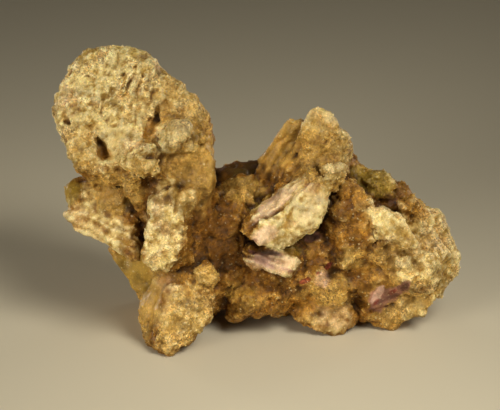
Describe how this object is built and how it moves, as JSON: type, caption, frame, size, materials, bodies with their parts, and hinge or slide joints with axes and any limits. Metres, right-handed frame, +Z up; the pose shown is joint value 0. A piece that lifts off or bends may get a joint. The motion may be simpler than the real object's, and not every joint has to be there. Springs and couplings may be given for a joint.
{
  "type": "heulandite crystal cluster",
  "caption": "Heulandite specimen: stubby, druse-coated tan crystals grown together in a lumpy cluster, with pale pitted crystal ends, that stands on its own feet for display.",
  "frame": {"origin": "middle of the cluster's bounding box, on the floor that its feet stand on", "axes": "+X to the right across the longest side as seen in the picture, -Y towards the viewer, +Z up"},
  "size_m": [0.0826, 0.0378, 0.0594],
  "materials": {
    "heulandite": "dull sugary druse with paler worn crystal ends"
  },
  "bodies": {
    "root": {"heulandite_cluster": "heulandite"}
  },
  "joints": []
}
